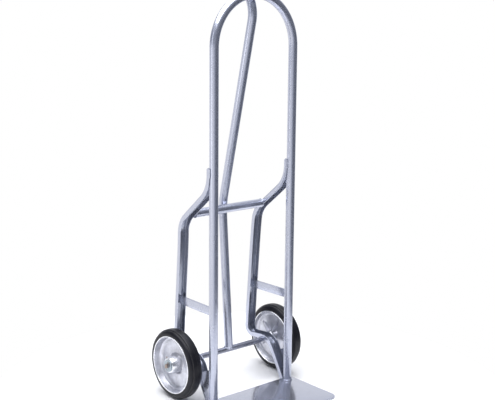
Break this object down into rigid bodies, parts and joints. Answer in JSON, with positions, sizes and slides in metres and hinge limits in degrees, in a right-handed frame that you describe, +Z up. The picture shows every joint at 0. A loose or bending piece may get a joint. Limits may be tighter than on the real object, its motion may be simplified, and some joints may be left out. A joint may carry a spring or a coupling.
{
  "type": "hand truck",
  "caption": "Upright hand truck: arched tube front frame, curved pin handle, bowed channel side rails, flat toe plate and rubber-tyred cast wheels on a through axle.",
  "frame": {"origin": "on the floor, midway between the two uprights and directly below their centrelines, on the toe plate's underside", "axes": "+Z up, -Y to the front (the toe plate points this way), +X across the truck, so that left_ pieces are at -X and right_ pieces at +X"},
  "size_m": [0.5732, 0.5013, 1.5006],
  "materials": {
    "silver_paint": "smooth silver-grey metallic paint",
    "cast_aluminium": "as cast, satin, with a brighter rim lip",
    "black_rubber": "matt moulded rubber",
    "zinc_plate": "zinc plated",
    "painted_axle": "painted with the frame, its ends bare steel and lightly browned",
    "hardware_steel": "plain steel, lightly browned",
    "bearing_steel": "bright rollers in a pressed cage",
    "black_vinyl": "soft dipped vinyl"
  },
  "bodies": {
    "frame": {"loop_frame": "silver_paint", "centre_tube": "silver_paint", "handle_grip": "black_vinyl", "crossbar": "silver_paint", "toe_plate": "silver_paint", "axle": "painted_axle", "axle_tube": "silver_paint", "left_side_rail": "silver_paint", "left_strap": "silver_paint", "left_gusset": "silver_paint", "left_outer_washer": "zinc_plate", "left_inner_washer": "zinc_plate", "left_cotter_pin": "hardware_steel", "right_side_rail": "silver_paint", "right_strap": "silver_paint", "right_gusset": "silver_paint", "right_outer_washer": "zinc_plate", "right_inner_washer": "zinc_plate", "right_cotter_pin": "hardware_steel"},
    "left_wheel": {"left_hub": "cast_aluminium", "left_tyre": "black_rubber", "left_roller_bearing": "bearing_steel", "left_grease_fitting": "hardware_steel"},
    "right_wheel": {"right_hub": "cast_aluminium", "right_tyre": "black_rubber", "right_roller_bearing": "bearing_steel", "right_grease_fitting": "hardware_steel"}
  },
  "joints": [
    {"name": "left_wheel_spin", "type": "hinge", "parent": "frame", "child": "left_wheel", "pos_m": [-0.2398, 0.1353, 0.127], "axis": [1, 0, 0], "continuous": true},
    {"name": "right_wheel_spin", "type": "hinge", "parent": "frame", "child": "right_wheel", "pos_m": [0.2398, 0.1353, 0.127], "axis": [1, 0, 0], "continuous": true}
  ]
}
